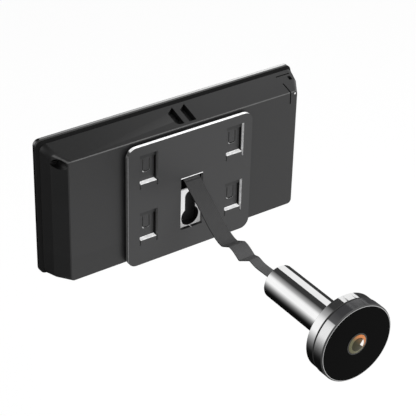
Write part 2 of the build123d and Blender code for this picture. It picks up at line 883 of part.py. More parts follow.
# Keyhole plate and its countersunk screws
with BuildPart() as keyhole_plate:
    block(
        about(keyhole_x, keyhole_plate_width),
        (casing_depth, keyhole_seat),
        (back_foot + keyhole_plate_inset, bay_foot - seat_gap),
    )
    rods([(keyhole_x, keyhole_rise)], keyhole_radius, (0, keyhole_seat), mode=Mode.SUBTRACT)
    panel(
        (keyhole_x, keyhole_rise + keyhole_neck_height / 2),
        keyhole_neck_width,
        keyhole_neck_height,
        (0, keyhole_seat),
        keyhole_neck_radius,
        mode=Mode.SUBTRACT,
    )
    countersinks(keyhole_screw_places, thread_gap, mode=Mode.SUBTRACT)
keyhole_plate.part.label = "keyhole_plate"
export_step(keyhole_plate.part, "parts/keyhole_plate.step")

with BuildPart() as keyhole_screws:
    countersinks(keyhole_screw_places, 0)
    rods(
        keyhole_screw_places,
        keyhole_screw_radius,
        (keyhole_seat, keyhole_boss_end - pocket_wall),
    )
    for x, z in keyhole_screw_places:
        block(
            about(x, 2 * keyhole_screw_radius),
            (casing_depth, casing_depth + keyhole_plate_thickness / 2),
            about(z, screw_slot_width),
            mode=Mode.SUBTRACT,
        )
keyhole_screws.part.label = "keyhole_screws"
export_step(keyhole_screws.part, "parts/keyhole_screws.step")


# Case screws
def case_screw(place, shoulder, end):
    """Pan-head screw with its head on the shoulder of a well."""
    rods([place], case_screw_head_radius, (shoulder - case_screw_head_height, shoulder))
    rods([place], case_screw_radius, (shoulder, end))
    x, z = place
    for width, height in (
        (2 * case_screw_radius, screw_slot_width), (screw_slot_width, 2 * case_screw_radius)
    ):
        block(
            about(x, width),
            (shoulder - case_screw_head_height, shoulder - case_screw_head_height / 2),
            about(z, height),
            mode=Mode.SUBTRACT,
        )


with BuildPart() as case_screws:
    for screw_place in corner_screw_places:
        case_screw(screw_place, corner_shoulder_depth, frame_back + case_screw_bite)
    for screw_place in inner_screw_places:
        case_screw(screw_place, inner_shoulder_depth, frame_back - seat_gap)
case_screws.part.label = "case_screws"
export_step(case_screws.part, "parts/case_screws.step")


# Strap pin in the upper corner
with BuildPart() as strap_pin:
    rods([strap_pin_place], strap_pin_radius, (strap_pin_depth, strap_pin_depth + strap_pin_length))
strap_pin.part.label = "strap_pin"
export_step(strap_pin.part, "parts/strap_pin.step")


# Port cover with its hinge barrel and pins
with BuildPart() as port_cover:
    side_layer((cover_edge_depth, hinge_depth), cover_thickness, 0, cover_span)
    upright_rod(hinge_place, hinge_radius, cover_span)
    upright_rod(
        hinge_place,
        hinge_pin_radius,
        (cover_span[0] - hinge_pin_length, cover_span[1] + hinge_pin_length),
    )
    groove_depth = cover_edge_depth + nail_groove_inset
    groove_x = side_x(groove_depth)
    block(
        (groove_x - nail_groove_depth, groove_x + overrun),
        about(groove_depth, nail_groove_width),
        about(middle(cover_span), nail_groove_length),
        mode=Mode.SUBTRACT,
    )
port_cover.part.label = "port_cover"
export_step(port_cover.part, "parts/port_cover.step")


# Front frame, bright rim and glass
key_recess_depth = key_flange_thickness + key_travel + 2 * seat_gap

with BuildPart() as front_frame:
    slant_ends = []
    for depth, inset in ((frame_back, frame_slant_inset), (frame_back + frame_slant_depth, 0)):
        with BuildSketch(door_plane(depth)) as slant_end:
            with Locations((middle_x, monitor_rise)):
                RectangleRounded(
                    frame_width - 2 * inset, frame_height - 2 * inset, frame_corner_radius - inset
                )
        slant_ends.append(slant_end.sketch.face())
    loft(slant_ends, ruled=True)
    panel(
        (middle_x, monitor_rise),
        frame_width,
        frame_height,
        (frame_back + frame_slant_depth, frame_front),
        frame_corner_radius,
    )
    panel(
        (display_x, monitor_rise),
        display_hole_width,
        display_hole_height,
        (frame_back - overrun, frame_front),
        display_gap,
        mode=Mode.SUBTRACT,
    )
    rods(
        [key_place],
        key_flange_radius + key_gap,
        (frame_front - key_recess_depth, frame_front),
        mode=Mode.SUBTRACT,
    )
    rods([key_place], key_stem_radius + key_gap, (frame_back, frame_front), mode=Mode.SUBTRACT)
    rods(
        corner_screw_places,
        case_screw_radius + thread_gap,
        (frame_back, frame_back + case_screw_bite + seat_gap),
        mode=Mode.SUBTRACT,
    )
    rods(
        display_screw_places,
        display_screw_radius + thread_gap,
        (frame_back, tray_back + display_screw_length + seat_gap),
        mode=Mode.SUBTRACT,
    )
front_frame.part.label = "front_frame"
export_step(front_frame.part, "parts/front_frame.step")

with BuildPart() as chrome_rim:
    panel((middle_x, monitor_rise), frame_width, frame_height, (frame_front, rim_front), frame_corner_radius)
    fillet(chrome_rim.faces().sort_by(Axis.Y)[-1].edges(), rim_edge_radius)
    panel(
        (middle_x, monitor_rise),
        frame_width - 2 * rim_wall,
        frame_height - 2 * rim_wall,
        (frame_front, rim_front),
        rim_inner_radius,
        mode=Mode.SUBTRACT,
    )
chrome_rim.part.label = "chrome_rim"
export_step(chrome_rim.part, "parts/chrome_rim.step")

with BuildPart() as front_glass:
    panel(
        (middle_x, monitor_rise),
        frame_width - 2 * rim_wall - 2 * seat_gap,
        frame_height - 2 * rim_wall - 2 * seat_gap,
        (frame_front, glass_front),
        rim_inner_radius - seat_gap,
    )
    rods([key_place], key_radius + key_gap, (frame_front, glass_front), mode=Mode.SUBTRACT)
front_glass.part.label = "front_glass"
export_step(front_glass.part, "parts/front_glass.step")


# Display panel, its tray and screws
with BuildPart() as display_panel:
    block(
        about(display_x, display_width),
        (frame_back, frame_front),
        about(monitor_rise, display_height),
    )
display_panel.part.label = "display_panel"
export_step(display_panel.part, "parts/display_panel.step")

with BuildPart() as display_tray:
    panel((display_x, monitor_rise), tray_width, tray_height, (tray_back, frame_back), tray_corner_radius)
    rods(inner_screw_places, tray_bush_radius, (bush_end, tray_back))
    rods(inner_screw_places, case_screw_radius + thread_gap, (bush_end, frame_back), mode=Mode.SUBTRACT)
    rods(corner_screw_places, well_post_radius + display_gap, (tray_back, frame_back), mode=Mode.SUBTRACT)
    rods(
        display_screw_places,
        display_screw_radius + thread_gap,
        (tray_back, frame_back),
        mode=Mode.SUBTRACT,
    )
display_tray.part.label = "display_tray"
export_step(display_tray.part, "parts/display_tray.step")

with BuildPart() as display_screws:
    rods(display_screw_places, display_screw_head_radius, (tray_back - display_screw_head_height, tray_back))
    rods(display_screw_places, display_screw_radius, (tray_back, tray_back + display_screw_length))
display_screws.part.label = "display_screws"
export_step(display_screws.part, "parts/display_screws.step")


# View key and the switch behind it
switch_front = board_front + switch_height + switch_cap_height
stem_end = switch_front + key_travel + slide_gap
key_flange_front = frame_front - seat_gap

with BuildPart() as view_key:
    rods([key_place], key_radius, (key_flange_front, glass_front + key_proud))
    fillet(view_key.faces().sort_by(Axis.Y)[-1].edges(), key_edge_radius)
    rods([key_place], key_flange_radius, (key_flange_front - key_flange_thickness, key_flange_front))
    rods([key_place], key_stem_radius, (stem_end, key_flange_front - key_flange_thickness))
view_key.part.label = "view_key"
export_step(view_key.part, "parts/view_key.step")

with BuildPart() as view_switch:
    block(
        about(key_place[0], switch_width),
        (board_front, board_front + switch_height),
        about(monitor_rise, switch_width),
    )
    rods([key_place], switch_cap_radius, (board_front + switch_height, switch_front))
view_switch.part.label = "view_switch"
export_step(view_switch.part, "parts/view_switch.step")


# Main board with its screws, chips, sockets and card
with BuildPart() as main_board:
    panel(
        (middle(board_span_x), middle(board_span_z)),
        length(board_span_x),
        length(board_span_z),
        (board_depth, board_front),
        board_corner_radius,
    )
    rods(board_screw_places, board_screw_radius + seat_gap, (board_depth, board_front), mode=Mode.SUBTRACT)
main_board.part.label = "main_board"
export_step(main_board.part, "parts/main_board.step")

with BuildPart() as board_screws:
    rods(board_screw_places, board_screw_head_radius, (board_front, board_front + board_screw_head_height))
    rods(board_screw_places, board_screw_radius, (board_depth - board_screw_length + seat_gap, board_front))
board_screws.part.label = "board_screws"
export_step(board_screws.part, "parts/board_screws.step")

with BuildPart() as board_chips:
    for across, up, chip_width in chip_shares:
        block(
            about(board_span_x[0] + across * length(board_span_x), chip_width),
            (board_depth - chip_thickness, board_depth),
            about(board_span_z[0] + up * length(board_span_z), chip_width),
        )
board_chips.part.label = "board_chips"
export_step(board_chips.part, "parts/board_chips.step")

with BuildPart() as cable_socket:
    block(
        about(0, socket_width),
        (socket_depth, board_depth),
        about(socket_rise, socket_height),
    )
    chamfer(cable_socket.faces().sort_by(Axis.Y)[0].edges(), socket_chamfer)
cable_socket.part.label = "cable_socket"
export_step(cable_socket.part, "parts/cable_socket.step")

port_mouth_x = port_floor_x - port_floor_wall + port_reach

with BuildPart() as usb_port:
    usb_depth_span = (board_depth - usb_thickness, board_depth)
    block((port_mouth_x - usb_length, port_mouth_x), usb_depth_span, about(usb_rise, usb_width))
    block(
        (port_mouth_x - usb_length + usb_back_wall, port_mouth_x),
        (usb_depth_span[0] + usb_wall, usb_depth_span[1] - usb_wall),
        about(usb_rise, usb_width - 2 * usb_wall),
        mode=Mode.SUBTRACT,
    )
    block(
        (port_mouth_x - usb_length, port_mouth_x - usb_tongue_setback),
        about(middle(usb_depth_span), usb_tongue_thickness),
        about(usb_rise, usb_tongue_width),
    )
usb_port.part.label = "usb_port"
export_step(usb_port.part, "parts/usb_port.step")

card_depth = board_depth - card_socket_thickness / 2
card_mouth_x = port_mouth_x + card_stand

with BuildPart() as card_socket:
    block(
        (port_mouth_x - card_socket_length, port_mouth_x),
        (board_depth - card_socket_thickness, board_depth),
        about(card_socket_rise, card_socket_width),
    )
    block(
        (card_mouth_x - card_length - slide_gap, port_mouth_x),
        about(card_depth, card_thickness + 2 * slide_gap),
        about(card_socket_rise, card_width + 2 * slide_gap),
        mode=Mode.SUBTRACT,
    )
card_socket.part.label = "card_socket"
export_step(card_socket.part, "parts/card_socket.step")

with BuildPart() as memory_card:
    block(
        (card_mouth_x - card_length, card_mouth_x),
        about(card_depth, card_thickness),
        about(card_socket_rise, card_width),
    )
memory_card.part.label = "memory_card"
export_step(memory_card.part, "parts/memory_card.step")


# Battery and speaker
with BuildPart() as battery:
    panel(
        (middle(battery_span_x), middle(battery_span_z)),
        length(battery_span_x),
        length(battery_span_z),
        (pocket_back, pocket_back + battery_thickness),
        battery_corner_radius,
    )
battery.part.label = "battery"
export_step(battery.part, "parts/battery.step")

with BuildPart() as speaker:
    block(speaker_span_x, speaker_depth_span, (speaker_foot, speaker_foot + speaker_height))
    fillet(speaker.edges().filter_by(Axis.Z), speaker_edge_radius)
speaker.part.label = "speaker"
export_step(speaker.part, "parts/speaker.step")


# Camera: barrel, housing, bezel and glass
with BuildPart() as camera_barrel:
    rods([(0, 0)], barrel_radius, (barrel_shoulder, barrel_end_depth))
    chamfer(camera_barrel.faces().sort_by(Axis.Y)[-1].edges(), barrel_edge_chamfer)
    chamfer(camera_barrel.faces().sort_by(Axis.Y)[0].edges(), barrel_seat_depth)
    rods([(0, 0)], barrel_neck_radius, (housing_inside, barrel_shoulder))
    rods(
        [(0, 0)],
        barrel_radius + barrel_flange_lip,
        (housing_inside - barrel_flange_thickness, housing_inside),
    )
    rods(
        [(0, 0)],
        barrel_bore_radius,
        (housing_inside - barrel_flange_thickness, barrel_end_depth),
        mode=Mode.SUBTRACT,
    )
camera_barrel.part.label = "camera_barrel"
export_step(camera_barrel.part, "parts/camera_barrel.step")

with BuildPart() as camera_housing:
    rods([(0, 0)], housing_radius, (housing_front, head_depth))
    chamfer(camera_housing.edges().filter_by(GeomType.CIRCLE), housing_edge_chamfer)
    rods([(0, 0)], housing_radius - housing_wall, (housing_front, housing_inside), mode=Mode.SUBTRACT)
    rods([(0, 0)], barrel_neck_radius + thread_gap, (housing_inside, head_depth), mode=Mode.SUBTRACT)
    rods([(0, 0)], barrel_radius + thread_gap, (barrel_shoulder, head_depth), mode=Mode.SUBTRACT)
camera_housing.part.label = "camera_housing"
export_step(camera_housing.part, "parts/camera_housing.step")


def lug_places(count, radius, start):
    """Places evenly round the camera's axis, from a start angle in degrees."""
    angles = [start + turn * 360 / count for turn in range(count)]
    return [(radius * cos(radians(angle)), radius * sin(radians(angle))) for angle in angles]


lugs = lug_places(lug_count, sensor_board_radius - lug_inset, lug_start)
leds = lug_places(lug_count, (holder_width / 2 + sensor_board_radius) / 2, led_start)

with BuildPart() as camera_bezel:
    rods([(0, 0)], bezel_radius, (bezel_front, bezel_back))
    chamfer(camera_bezel.edges().filter_by(GeomType.CIRCLE), bezel_edge_chamfer)
    rods([(0, 0)], housing_radius - housing_wall - slide_gap, (bezel_back, bezel_back + bezel_spigot_length))
    rods(
        [(0, 0)],
        bezel_bore_radius,
        (bezel_front, bezel_back + bezel_spigot_length),
        mode=Mode.SUBTRACT,
    )
    rods(
        [(0, 0)],
        camera_glass_radius + slide_gap,
        (bezel_front, camera_glass_back),
        mode=Mode.SUBTRACT,
    )
    rods(lugs, lug_radius, (camera_glass_back, sensor_board_front))
    rods(
        lugs,
        sensor_screw_radius + thread_gap,
        (sensor_board_front - sensor_screw_length, sensor_board_front),
        mode=Mode.SUBTRACT,
    )
camera_bezel.part.label = "camera_bezel"
export_step(camera_bezel.part, "parts/camera_bezel.step")

with BuildPart() as camera_glass:
    rods([(0, 0)], camera_glass_radius, (bezel_front, camera_glass_back))
    rods([(0, 0)], camera_glass_hole_radius, (bezel_front, camera_glass_back), mode=Mode.SUBTRACT)
camera_glass.part.label = "camera_glass"
export_step(camera_glass.part, "parts/camera_glass.step")


# Lens
ring_front = bezel_front - lens_ring_proud
ring_back = ring_front + lens_ring_thickness
holder_front = sensor_board_front - holder_height
thread_end = ring_back + lens_thread_length
front_lens_back = ring_front + front_lens_edge

with BuildPart() as lens_barrel:
    rods([(0, 0)], lens_ring_radius, (ring_front, ring_back))
    rods([(0, 0)], lens_thread_radius, (ring_back, thread_end))
    rods([(0, 0)], lens_bore_radius, (ring_front, thread_end), mode=Mode.SUBTRACT)
    rods([(0, 0)], front_lens_radius + slide_gap, (ring_front, front_lens_back), mode=Mode.SUBTRACT)
lens_barrel.part.label = "lens_barrel"
export_step(lens_barrel.part, "parts/lens_barrel.step")


def dome(radius, sag, edge_depth, towards):
    """Round cap about the camera's axis: its edge lies at edge_depth, its top sag beyond it."""
    ball_radius = (radius * radius + sag * sag) / (2 * sag)
    halfway_sag = sag - ball_radius + sqrt(ball_radius ** 2 - radius ** 2 / 4)
    with BuildSketch(side_plane(0)) as half:
        with BuildLine():
            ThreePointArc(
                (edge_depth, radius),
                (edge_depth + towards * halfway_sag, radius / 2),
                (edge_depth + towards * sag, 0),
            )
            Polyline((edge_depth + towards * sag, 0), (edge_depth, 0), (edge_depth, radius))
        make_face()
    revolve(half.sketch, axis=Axis.Y)


with BuildPart() as front_lens:
    rods([(0, 0)], front_lens_radius, (ring_front, front_lens_back))
    dome(front_lens_radius, front_lens_sag, ring_front, -1)
front_lens.part.label = "front_lens"
export_step(front_lens.part, "parts/front_lens.step")

with BuildPart() as rear_lens:
    rods([(0, 0)], rear_lens_radius, (thread_end - rear_lens_thickness, thread_end))
    dome(rear_lens_radius, front_lens_edge, thread_end - rear_lens_thickness, -1)
rear_lens.part.label = "rear_lens"
export_step(rear_lens.part, "parts/rear_lens.step")

with BuildPart() as lens_holder:
    block(about(0, holder_width), (holder_front, sensor_board_front), about(0, holder_width))
    block(
        about(0, holder_room_width),
        (sensor_board_front - holder_room_height, sensor_board_front),
        about(0, holder_room_width),
        mode=Mode.SUBTRACT,
    )
    rods(
        [(0, 0)],
        lens_thread_radius + thread_gap,
        (holder_front, sensor_board_front),
        mode=Mode.SUBTRACT,
    )
lens_holder.part.label = "lens_holder"
export_step(lens_holder.part, "parts/lens_holder.step")


# Sensor board and what sits on it
with BuildPart() as sensor_board:
    rods([(0, 0)], sensor_board_radius, (sensor_board_front, sensor_board_back))
    rods(
        lugs,
        sensor_screw_radius + seat_gap,
        (sensor_board_front, sensor_board_back),
        mode=Mode.SUBTRACT,
    )
sensor_board.part.label = "sensor_board"
export_step(sensor_board.part, "parts/sensor_board.step")

with BuildPart() as image_sensor:
    block(
        about(0, image_sensor_width),
        (sensor_board_front - image_sensor_thickness, sensor_board_front),
        about(0, image_sensor_width),
    )
image_sensor.part.label = "image_sensor"
export_step(image_sensor.part, "parts/image_sensor.step")

with BuildPart() as sensor_screws:
    rods(lugs, sensor_screw_head_radius, (sensor_board_back, sensor_board_back + sensor_screw_head_height))
    rods(
        lugs,
        sensor_screw_radius,
        (sensor_board_front - sensor_screw_length + seat_gap, sensor_board_back),
    )
sensor_screws.part.label = "sensor_screws"
export_step(sensor_screws.part, "parts/sensor_screws.step")

with BuildPart() as infrared_leds:
    rods(leds, led_radius, (sensor_board_front - led_height, sensor_board_front))
infrared_leds.part.label = "infrared_leds"
export_step(infrared_leds.part, "parts/infrared_leds.step")

ribbon_end = outer_ribbon_route[-1]
connector_back = sensor_board_back + connector_thickness

with BuildPart() as camera_connector:
    block(
        about(0, connector_width),
        (sensor_board_back, connector_back),
        about(ribbon_end[1], connector_height),
    )
camera_connector.part.label = "camera_connector"
export_step(camera_connector.part, "parts/camera_connector.step")


# Flat cable: straight runs joined by tangent arcs, in the plane across the door
def corner_radii(route):
    """Arc radius at each inner point: a share of the shorter run beside it."""
    radii = []
    for before, here, after in zip(route, route[1:], route[2:]):
        first = Vector(here[0] - before[0], here[1] - before[1])
        second = Vector(after[0] - here[0], after[1] - here[1])
        half_turn = radians(first.get_angle(second)) / 2
        radii.append(arc_share * min(first.length, second.length) / tan(half_turn))
    return radii


def lay_ribbon(route):
    """Band of the cable's full width along a route."""
    with BuildSketch(side_plane(-ribbon_width / 2)) as band:
        with BuildLine() as path:
            FilletPolyline(*route, radius=corner_radii(route))
        trace(line_width=ribbon_thickness)
    extrude(band.sketch, amount=ribbon_width)
    return sum(edge.length for edge in path.edges())


with BuildPart() as inner_ribbon:
    inner_length = lay_ribbon(inner_ribbon_route)
inner_ribbon.part.label = "inner_ribbon"
export_step(inner_ribbon.part, "parts/inner_ribbon.step")

with BuildPart() as outer_ribbon:
    outer_length = lay_ribbon(outer_ribbon_route)
    with BuildSketch(Plane.XY.offset(-ribbon_width)):
        with BuildLine():
            wide, narrow = ribbon_width / 2, ribbon_narrow_width / 2
            wide_end, narrow_start = ribbon_narrowing_span
            far_end = ribbon_end[0] - overrun
            Polyline(
                (-wide, overrun), (wide, overrun), (wide, wide_end), (narrow, narrow_start),
                (narrow, far_end), (-narrow, far_end), (-narrow, narrow_start), (-wide, wide_end),
                close=True,
            )
        make_face()
    extrude(amount=ribbon_width + 2 * outer_ribbon_route[0][1], mode=Mode.INTERSECT)
outer_ribbon.part.label = "outer_ribbon"
export_step(outer_ribbon.part, "parts/outer_ribbon.step")

with BuildPart() as ribbon_tail:
    block(
        about(0, ribbon_narrow_width),
        (connector_back, ribbon_end[0]),
        about(ribbon_end[1], ribbon_thickness),
    )
ribbon_tail.part.label = "ribbon_tail"
export_step(ribbon_tail.part, "parts/ribbon_tail.step")

for name, route, route_length, band in (
    ("inner", inner_ribbon_route, inner_length, inner_ribbon),
    ("outer", outer_ribbon_route, outer_length, outer_ribbon),
):
    print(name, "ribbon radii", [round(radius, 1) for radius in corner_radii(route)])
    print(name, "ribbon length", round(route_length, 2), "volume", round(band.part.volume, 2),
          "full-width section times length", round(route_length * ribbon_width * ribbon_thickness, 2))
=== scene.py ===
import math

import bmesh
import bpy
from mathutils import Matrix, Vector


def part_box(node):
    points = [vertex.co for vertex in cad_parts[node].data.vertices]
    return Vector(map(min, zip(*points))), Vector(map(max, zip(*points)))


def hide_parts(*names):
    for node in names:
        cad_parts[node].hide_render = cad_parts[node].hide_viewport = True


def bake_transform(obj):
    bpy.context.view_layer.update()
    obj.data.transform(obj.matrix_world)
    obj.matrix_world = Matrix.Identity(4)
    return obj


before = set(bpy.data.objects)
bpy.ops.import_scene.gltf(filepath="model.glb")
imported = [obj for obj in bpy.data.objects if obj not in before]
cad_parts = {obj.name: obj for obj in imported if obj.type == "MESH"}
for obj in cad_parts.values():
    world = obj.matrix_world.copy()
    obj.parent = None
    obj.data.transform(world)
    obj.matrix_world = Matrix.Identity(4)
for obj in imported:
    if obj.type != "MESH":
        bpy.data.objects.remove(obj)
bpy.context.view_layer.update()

# Door viewer seen as a kit: dark monitor, pressed plate, flat cable and chrome camera.
# Metres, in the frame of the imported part: the origin lies on the camera's axis, in the plate's door
# face, +X is to the right as seen from outdoors, +Y goes into the room and +Z is up.
mm = 0.001

# Camera of the picture
eye = Vector((-0.33568, -0.4793, 0.37064))
eye_right = Vector((0.8202, -0.5717, 0.0233))
eye_up = Vector((0.2886, 0.4485, 0.8459))
eye_back = Vector((-0.494, -0.6871, 0.5328))
lens_length = 134.77
film_width = 36.0
nearest_seen = 0.02
farthest_seen = 20.0

camera_data = bpy.data.cameras.new("picture_camera")
camera_data.lens = lens_length
camera_data.sensor_width = film_width
camera_data.clip_start = nearest_seen
camera_data.clip_end = farthest_seen
picture_camera = bpy.data.objects.new("picture_camera", camera_data)
turn = Matrix((eye_right, eye_up, eye_back)).transposed()
picture_camera.matrix_world = Matrix.Translation(eye) @ turn.to_4x4()
bpy.context.scene.collection.objects.link(picture_camera)
bpy.context.scene.camera = picture_camera
bpy.context.scene.view_settings.view_transform = "Standard"


# Shader terms
class Term:
    """An output socket that takes part in sums."""

    def __init__(self, paint, socket):
        self.paint = paint
        self.socket = socket

    def _maths(self, operation, *terms):
        return self.paint.make("Math", {"operation": operation}, dict(enumerate(terms)))

    def __add__(self, other):
        return self._maths("ADD", self, other)

    def __radd__(self, other):
        return self._maths("ADD", other, self)

    def __sub__(self, other):
        return self._maths("SUBTRACT", self, other)

    def __rsub__(self, other):
        return self._maths("SUBTRACT", other, self)

    def __mul__(self, other):
        return self._maths("MULTIPLY", self, other)

    def __rmul__(self, other):
        return self._maths("MULTIPLY", other, self)

    def __truediv__(self, other):
        return self._maths("DIVIDE", self, other)

    def __neg__(self):
        return self._maths("MULTIPLY", self, -1)

    def __abs__(self):
        return self._maths("ABSOLUTE", self)

    def maths(self, operation, *others):
        """Any other function of this value."""
        return self._maths(operation, self, *others)

    def rise(self, low, high):
        """0 below low, 1 above high, smooth between them."""
        return self.paint.make(
            "MapRange",
            {"interpolation_type": "SMOOTHSTEP"},
            {"Value": self, "From Min": low, "From Max": high},
        )

    def within(self, low, high, soft):
        """1 between low and high, and 0 outside, with soft ends."""
        return self.rise(low - soft, low + soft) * (1 - self.rise(high - soft, high + soft))


class Paint:
    """Node tree of one material, or of the world."""

    def __init__(self, tree):
        self.tree = tree
        tree.nodes.clear()

    def make(self, kind, settings=None, sockets=None, output=0):
        """New node of a type: its settings first, then the values or links of its sockets."""
        node = self.tree.nodes.new("ShaderNode" + kind)
        for name, value in (settings or {}).items():
            if name == "stops":
                self._set_stops(node.color_ramp, value)
            else:
                setattr(node, name, value)
        for name, value in (sockets or {}).items():
            socket = node.inputs[name]
            if isinstance(value, Term):
                self.tree.links.new(value.socket, socket)
            else:
                socket.default_value = value
        return Term(self, node.outputs[output]) if node.outputs else None

    def _set_stops(self, ramp, stops):
        while len(ramp.elements) > 1:
            ramp.elements.remove(ramp.elements[-1])
        for number, (place, level) in enumerate(stops):
            stop = ramp.elements[0] if number == 0 else ramp.elements.new(place)
            stop.position = place
            stop.color = grey(level)

    def mix(self, share, first, second):
        """Colour between two colours. Inputs 6 and 7 and output 2 are the node's colour sockets."""
        return self.make(
            "Mix", {"data_type": "RGBA"}, {"Factor": share, 6: first, 7: second}, output=2
        )

    def place(self):
        """Place on the piece at rest, as three values in metres."""
        spot = self.make("TexCoord", output="Object")
        return [self.make("SeparateXYZ", None, {0: spot}, output=axis) for axis in range(3)]

    def facing(self):
        """The surface's direction at rest, as three values."""
        spot = self.make("TexCoord", output="Normal")
        return [self.make("SeparateXYZ", None, {0: spot}, output=axis) for axis in range(3)]

    def noise(self, scale, detail=3.0, rough=0.5, stretch=None):
        """Cloudy value from 0 to 1, with scale in waves a metre."""
        spot = self.make("TexCoord", output="Object")
        if stretch:
            spot = self.make("VectorMath", {"operation": "MULTIPLY"}, {0: spot, 1: stretch})
        return self.make(
            "TexNoise", None, {"Vector": spot, "Scale": scale, "Detail": detail, "Roughness": rough}
        )

    def bump(self, height, distance):
        """Surface normal over a height map, the height being in units of distance."""
        return self.make("Bump", None, {"Height": height, "Distance": distance})

    def finish(self, sockets):
        """Surface shader of the material."""
        surface = self.make("BsdfPrincipled", None, sockets)
        self.make("OutputMaterial", None, {"Surface": surface})


def grey(level, blue=0.0):
    """Neutral colour, a little blue if wanted."""
    return (level, level, level * (1 + blue), 1.0)


def from_axis(across, rise):
    """Distance from the camera's axis."""
    return (across * across + rise * rise).maths("SQRT")


def new_material(name):
    """Material with an empty tree, and the tree's paint."""
    material = bpy.data.materials.new(name)
    material.use_nodes = True
    return material, Paint(material.node_tree)


# Finishes of the pieces
spark_grain = 0.012 * mm


def moulded_plastic(name, level, roughness, grain=spark_grain, extra=None):
    """Satin moulded plastic with a fine spark-eroded grain and faint cloudiness."""
    material, paint = new_material(name)
    cloud = paint.noise(60.0, 4.0)
    fine = paint.noise(5200.0, 2.0)
    shade = paint.mix(cloud, grey(level * 0.86, 0.03), grey(level * 1.14, 0.03))
    if extra is not None:
        shade = extra(paint, shade)
    paint.finish({
        "Base Color": shade,
        "Roughness": roughness + 0.08 * (cloud - 0.5) + 0.06 * (fine - 0.5),
        "Normal": paint.bump(fine, grain),
    })
    return material


# Bracket plate: where its uncoated edges and a painted highlight show, and where the tongues' slots keep
# their coat
hook_column = 22.65 * mm  # from the plate's middle to each column of hooks
leg_half_width = 4.0 * mm
tongue_depth = 2.4 * mm
tongue_slot_side = -1.2 * mm  # from the hook's middle
# Where the painted highlight falls: above the top edge's foot, on the right windows' walls, along the cable
# window's head and along the plate's left edge
top_edge_foot = 40 * mm
right_window_walls = (26.9 * mm, 27.8 * mm)
cable_window_sides = (-5.9 * mm, 5.7 * mm)
cable_window_head = (18.6 * mm, 19.0 * mm)
left_edge_highlight = (-33.4 * mm, -33.1 * mm)


def plate_paint():
    """Satin black coat on pressed steel, uncoated on the sheared edges, with a glowing painted highlight on
    upward faces, on walls facing left and on two edge lines, and painted shade on its other walls.
    """
    material, paint = new_material("plate_black_coat")
    across, depth, rise = paint.place()
    side, face, top = paint.facing()
    cloud = paint.noise(70.0, 4.0)
    fine = paint.noise(4200.0, 2.0)
    from_hook = across + hook_column - 2 * hook_column * across.rise(-1 * mm, 1 * mm)
    leg = 1 - abs(from_hook).rise(leg_half_width, leg_half_width + 0.1 * mm)
    slot = depth.rise(tongue_depth, tongue_depth + 0.2 * mm)
    slot = slot * from_hook.rise(tongue_slot_side, tongue_slot_side + 0.5 * mm)
    # Painted highlight on upward faces over the hook legs and along the plate's top edge, kept out of the
    # tongues' slots
    level = top.rise(0.4, 0.7) * (1 - abs(face).rise(0.6, 0.8)) * (1 - slot)
    level = level * leg.maths("MAXIMUM", rise.rise(top_edge_foot, top_edge_foot + 1 * mm))
    # Painted highlight on walls facing left, stronger on the right windows' walls
    painted_wall_highlight = (-side).rise(0.5, 0.8) * (0.06 + 0.5 * across.within(*right_window_walls, 0.1 * mm))
    # Painted highlight lines along the cable window's head and the plate's left edge
    painted_edge_highlight = across.within(*cable_window_sides, 0.1 * mm) * rise.within(*cable_window_head, 0.08 * mm)
    painted_edge_highlight = painted_edge_highlight + 0.12 * across.within(*left_edge_highlight, 0.06 * mm)
    # Random patches in the painted highlight
    patchy_highlight = 0.7 + 0.3 * paint.noise(900.0, 3.0).rise(0.35, 0.6)
    bare_and_highlight = level.maths("MAXIMUM", painted_wall_highlight).maths("MAXIMUM", painted_edge_highlight) * patchy_highlight
    coat = paint.mix(cloud * 0.3, grey(0.03, 0.03), grey(0.042, 0.03))
    # Painted shade: the coat is darker on the plate's walls
    shaded_wall = 1 - abs(face).rise(0.55, 0.85)
    coat = paint.mix(shaded_wall, coat, grey(0.006))
    paint.finish({
        "Base Color": paint.mix(bare_and_highlight, coat, grey(0.9, 0.01)),
        "Metallic": bare_and_highlight * 0.4,
        "Roughness": 0.36 + 0.08 * (cloud - 0.5) - 0.06 * bare_and_highlight,
        "Normal": paint.bump(fine, 0.008 * mm),
        # The painted highlight glows
        "Emission Color": paint.mix(bare_and_highlight, grey(0.0), grey(0.5)),
        "Emission Strength": 1.0,
    })
    return material


def bright_metal(name, level, roughness, brushed=0.0):
    """Plated or bare metal: mirror-bright, or brushed along the depth."""
    material, paint = new_material(name)
    cloud = paint.noise(140.0, 3.0)
    lines = paint.noise(400.0, 3.0, 0.6, (1, 60, 1))
    sockets = {
        "Base Color": paint.mix(cloud, grey(level * 0.93), grey(min(1.0, level * 1.05))),
        "Metallic": 1.0,
        "Roughness": roughness + 0.04 * brushed * lines + 0.02 * cloud,
    }
    if brushed > 0:
        sockets["Normal"] = paint.bump(lines, brushed * 0.02 * mm)
    paint.finish(sockets)
    return material


# Painted reflections on the bezel: a bright line on the rim round its glass, and a dark sector of its side
bezel_rim_radius = 17.1 * mm
bezel_reflection_dark_sector = (-70, 131)  # degrees round the axis, 0 at the right and 90 at the top


